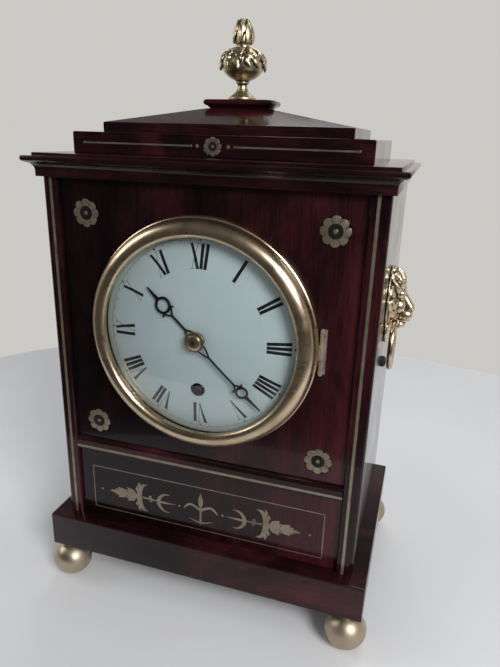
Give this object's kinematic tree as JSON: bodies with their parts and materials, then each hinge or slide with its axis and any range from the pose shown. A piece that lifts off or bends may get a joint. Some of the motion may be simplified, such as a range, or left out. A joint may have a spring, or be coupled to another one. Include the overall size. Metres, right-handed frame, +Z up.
{
  "type": "bracket clock",
  "caption": "Mahogany bracket clock with brass ball feet, lion-mask ring handles, hinged glazed bezel over a convex dial, pyramid top with finial and a fusee movement.",
  "frame": {"origin": "middle of the footprint of the four feet, on the surface they stand on", "axes": "+Z up, +X to the viewer's right seen from the front, +Y from the dial towards the back"},
  "size_m": [0.337, 0.2302, 0.5368],
  "materials": {
    "mahogany": "figured mahogany, french polished to a deep gloss",
    "secondary_wood": "plain sawn wood, oiled",
    "inlay_brass": "flush inlay, dulled by age",
    "case_brass": "old gilt lacquer over cast brass, darker in the hollows",
    "movement_brass": "fine brushed, lacquered",
    "dial_enamel": "white painted convex dial, smooth eggshell gloss",
    "blued_steel": "blued nearly to black",
    "steel": "polished",
    "dark_iron": "dark patina",
    "gut": "twisted gut line",
    "glass": "clear"
  },
  "bodies": {
    "case": {"plinth": "mahogany", "ball_foot_front_left": "case_brass", "ball_foot_front_right": "case_brass", "ball_foot_rear_left": "case_brass", "ball_foot_rear_right": "case_brass", "side_board_left": "mahogany", "corner_stile_left": "mahogany", "stile_stringing_left": "inlay_brass", "side_board_right": "mahogany", "corner_stile_right": "mahogany", "stile_stringing_right": "inlay_brass", "front_rail": "mahogany", "rail_stringing": "inlay_brass", "dial_panel": "mahogany", "rosette_upper_left": "inlay_brass", "rosette_upper_right": "inlay_brass", "rosette_lower_left": "inlay_brass", "rosette_lower_right": "inlay_brass", "lower_panel": "mahogany", "cornice": "mahogany", "frieze_block": "mahogany", "rosette_frieze": "inlay_brass", "pyramid_top": "mahogany", "cap_plate": "mahogany", "finial": "case_brass", "lion_mask_left": "case_brass", "buffer_stud_left": "dark_iron", "lion_mask_right": "case_brass", "buffer_stud_right": "dark_iron", "dial": "dial_enamel", "case_hinge_leaf": "case_brass", "front_plate": "movement_brass", "back_plate": "movement_brass", "gut_line": "gut", "back_cock": "movement_brass", "seatboard": "secondary_wood", "rear_hinge_lower": "case_brass", "rear_hinge_upper": "case_brass"},
    "bezel": {"bezel": "case_brass", "bezel_glass": "glass", "bezel_hinge_leaf": "case_brass"},
    "rear_door": {"rear_door_frame": "mahogany", "rear_door_glass": "glass", "rear_door_knob": "case_brass"},
    "handle_ring_left": {"handle_ring_left": "case_brass"},
    "handle_ring_right": {"handle_ring_right": "case_brass"},
    "minute_work": {"minute_hand": "blued_steel", "hand_collet": "case_brass", "cannon_wheel": "movement_brass", "centre_wheel": "movement_brass"},
    "hour_work": {"hour_hand": "blued_steel", "hour_wheel": "movement_brass"},
    "minute_wheel": {"minute_wheel": "movement_brass"},
    "great_wheel": {"great_wheel": "movement_brass"},
    "fusee": {"fusee": "movement_brass"},
    "barrel": {"spring_barrel": "movement_brass"},
    "third_wheel": {"third_wheel": "movement_brass"},
    "escape_wheel": {"escape_wheel": "movement_brass"},
    "pendulum": {"pendulum": "movement_brass", "pallets_and_crutch": "steel"}
  },
  "joints": [
    {"name": "bezel_hinge", "type": "hinge", "parent": "case", "child": "bezel", "pos_m": [0.1028, -0.0915, 0.2813], "axis": [0, 0, 1], "range_deg": [0, 110]},
    {"name": "rear_door_hinge", "type": "hinge", "parent": "case", "child": "rear_door", "pos_m": [-0.133, 0.109, 0.24], "axis": [0, 0, 1], "range_deg": [0, 150]},
    {"name": "handle_ring_left_swing", "type": "hinge", "parent": "case", "child": "handle_ring_left", "pos_m": [-0.15265, -0.0105, 0.2895], "axis": [0, 1, 0], "range_deg": [0, 110]},
    {"name": "handle_ring_right_swing", "type": "hinge", "parent": "case", "child": "handle_ring_right", "pos_m": [0.15265, -0.0105, 0.2895], "axis": [0, -1, 0], "range_deg": [0, 110]},
    {"name": "hands_turn", "type": "hinge", "parent": "case", "child": "minute_work", "pos_m": [0, -0.0925, 0.2813], "axis": [0, 1, 0], "continuous": true},
    {"name": "hour_hand_turn", "type": "hinge", "parent": "case", "child": "hour_work", "pos_m": [0, -0.0925, 0.2813], "axis": [0, 1, 0], "continuous": true},
    {"name": "minute_wheel_turn", "type": "hinge", "parent": "case", "child": "minute_wheel", "pos_m": [0.02706, -0.0925, 0.27145], "axis": [0, 1, 0], "continuous": true},
    {"name": "great_wheel_turn", "type": "hinge", "parent": "case", "child": "great_wheel", "pos_m": [0, -0.0925, 0.2363], "axis": [0, 1, 0], "continuous": true},
    {"name": "third_wheel_turn", "type": "hinge", "parent": "case", "child": "third_wheel", "pos_m": [-0.01995, -0.0925, 0.30125], "axis": [0, 1, 0], "continuous": true},
    {"name": "escape_wheel_turn", "type": "hinge", "parent": "case", "child": "escape_wheel", "pos_m": [0, -0.0925, 0.31423], "axis": [0, 1, 0], "continuous": true},
    {"name": "winding", "type": "hinge", "parent": "great_wheel", "child": "fusee", "pos_m": [0, -0.0925, 0.2363], "axis": [0, 1, 0], "range_deg": [-1260, 1260]},
    {"name": "barrel_turn", "type": "hinge", "parent": "case", "child": "barrel", "pos_m": [-0.046, -0.0925, 0.2353], "axis": [0, 1, 0], "range_deg": [-945, 945]},
    {"name": "pendulum_swing", "type": "hinge", "parent": "case", "child": "pendulum", "pos_m": [0, -0.0925, 0.33683], "axis": [0, 1, 0], "range_deg": [-4, 4]}
  ],
  "couplings": [
    {"joint": "hour_hand_turn", "follows": "hands_turn", "ratio": 0.083333},
    {"joint": "minute_wheel_turn", "follows": "hands_turn", "ratio": -1},
    {"joint": "great_wheel_turn", "follows": "hands_turn", "ratio": -0.083333},
    {"joint": "third_wheel_turn", "follows": "hands_turn", "ratio": -12},
    {"joint": "escape_wheel_turn", "follows": "hands_turn", "ratio": 133.71},
    {"joint": "barrel_turn", "follows": "winding", "ratio": 0.75}
  ]
}
